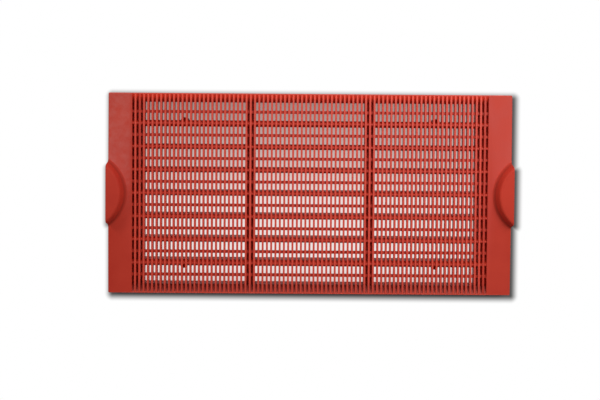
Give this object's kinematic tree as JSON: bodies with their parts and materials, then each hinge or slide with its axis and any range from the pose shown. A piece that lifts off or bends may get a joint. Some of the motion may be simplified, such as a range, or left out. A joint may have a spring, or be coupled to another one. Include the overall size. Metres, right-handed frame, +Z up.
{
  "type": "polyurethane screen panel",
  "caption": "Flat rectangular screen deck panel in cast polyurethane, with tapered ribs, through slots, deep bars below and a raised half-moon lug at the middle of the short ends.",
  "frame": {"origin": "centre of the underside, on the surface that the panel rests on", "axes": "+X along the panel's length, +Y along the slots and ribs, +Z up out of the screening face"},
  "size_m": [0.61, 0.3034, 0.0465],
  "materials": {
    "polyurethane": "satin cast polyurethane, red"
  },
  "bodies": {
    "root": {"screen_panel": "polyurethane"}
  },
  "joints": []
}
